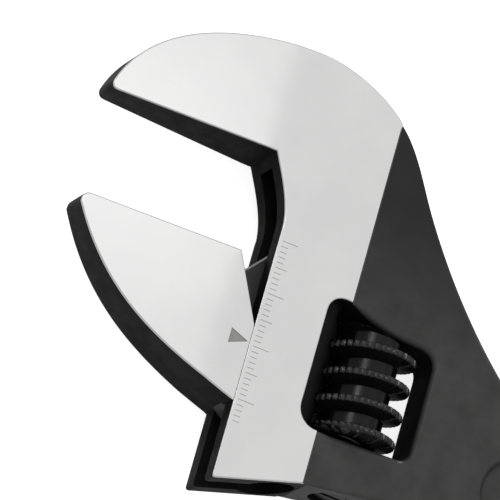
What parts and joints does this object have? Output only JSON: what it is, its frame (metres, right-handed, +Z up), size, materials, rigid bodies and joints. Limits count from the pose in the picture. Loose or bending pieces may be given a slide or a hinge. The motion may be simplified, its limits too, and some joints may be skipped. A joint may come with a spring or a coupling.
{
  "type": "adjustable wrench",
  "caption": "Adjustable wrench with polished angled jaws, a knurled adjusting worm and a black handle with a hanging hole.",
  "frame": {"origin": "middle of the neck on the head's underside, level with the fixed jaw's gripping face", "axes": "+X from the jaw tips towards the handle, +Y along the slide towards the fixed jaw, +Z up through the thickness with the wrench lying flat"},
  "size_m": [0.2346, 0.1291, 0.0177],
  "materials": {
    "black_steel": "black oxide forging with ground bright faces on the head",
    "polished_steel": "ground and polished faces, dark edges",
    "dark_steel": "black oxide, knurled",
    "plain_steel": "plain turned",
    "spring_steel": "bright drawn wire"
  },
  "bodies": {
    "body": {"wrench_body": "black_steel", "worm_pin": "plain_steel", "worm_spring": "spring_steel"},
    "jaw": {"movable_jaw": "polished_steel"},
    "worm": {"adjusting_worm": "dark_steel"}
  },
  "joints": [
    {"name": "jaw_slide", "type": "slide", "parent": "body", "child": "jaw", "axis": [0, 1, 0], "range_m": [-0.0143, 0.0192]},
    {"name": "worm_spin", "type": "hinge", "parent": "body", "child": "worm", "pos_m": [0.0153, -0.0335, 0.006], "axis": [0, 1, 0], "range_deg": [-1356, 1010]}
  ],
  "couplings": [
    {"joint": "worm_spin", "follows": "jaw_slide", "rad_per_m": -1232}
  ]
}
